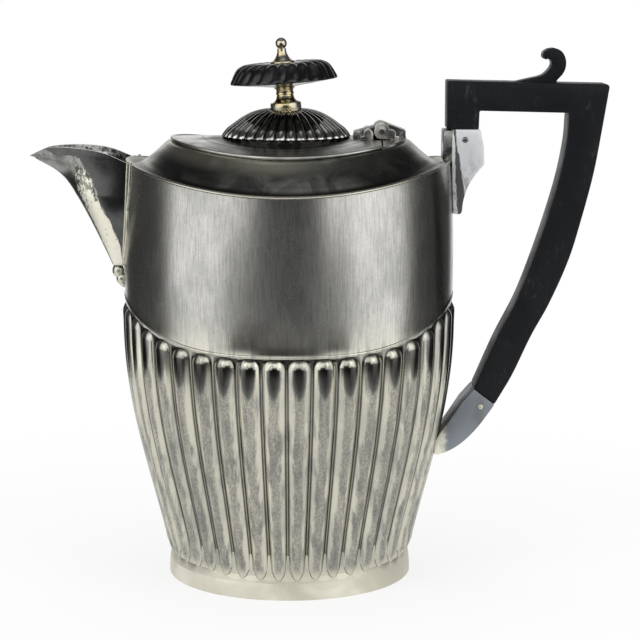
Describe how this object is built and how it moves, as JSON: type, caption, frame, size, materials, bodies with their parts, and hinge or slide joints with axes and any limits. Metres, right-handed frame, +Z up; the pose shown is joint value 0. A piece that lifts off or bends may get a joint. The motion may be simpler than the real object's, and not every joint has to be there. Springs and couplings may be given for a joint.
{
  "type": "coffee pot",
  "caption": "Oval silver-plated coffee pot with a lobed lower body, cast spout, hinged domed lid with finial and a curved wooden handle on two metal sockets.",
  "frame": {"origin": "middle of the oval body, on the plane the foot stands on", "axes": "+X towards the handle, -X towards the spout, +Z up; the hinge lies along Y"},
  "size_m": [0.2212, 0.1152, 0.2091],
  "materials": {
    "plated_body": "polished silver plate, brushed and slightly tarnished",
    "plated_lid": "polished silver plate",
    "worn_plate": "worn silver plate, satin",
    "dull_plate": "dull silver plate",
    "warm_brass": "plate worn through to brass",
    "black_wood": "ebonised, semi-gloss with fine scratches"
  },
  "bodies": {
    "pot": {"body_shell": "plated_body", "foot_ring": "worn_plate", "base_plate": "worn_plate", "shoulder_collar": "plated_body", "seat_ring": "plated_body", "hinge_bed": "plated_body", "spout": "plated_body", "spout_drop": "plated_body", "upper_socket": "dull_plate", "lower_socket": "dull_plate", "handle_grip": "black_wood", "upper_handle_pin": "dull_plate", "lower_handle_pin": "dull_plate", "hinge_body_leaf": "plated_body", "hinge_pin": "dull_plate"},
    "lid": {"lid_pan": "plated_lid", "lid_dome": "plated_lid", "lid_flange": "plated_lid", "hinge_lid_leaf": "plated_lid", "finial_stem": "warm_brass", "finial_disc": "black_wood", "finial_cap": "warm_brass", "finial_stud": "warm_brass", "finial_washer": "warm_brass", "finial_nut": "warm_brass"}
  },
  "joints": [
    {"name": "lid_hinge", "type": "hinge", "parent": "pot", "child": "lid", "pos_m": [0.0355, 0, 0.1742], "axis": [0, 1, 0], "range_deg": [0, 82]}
  ]
}
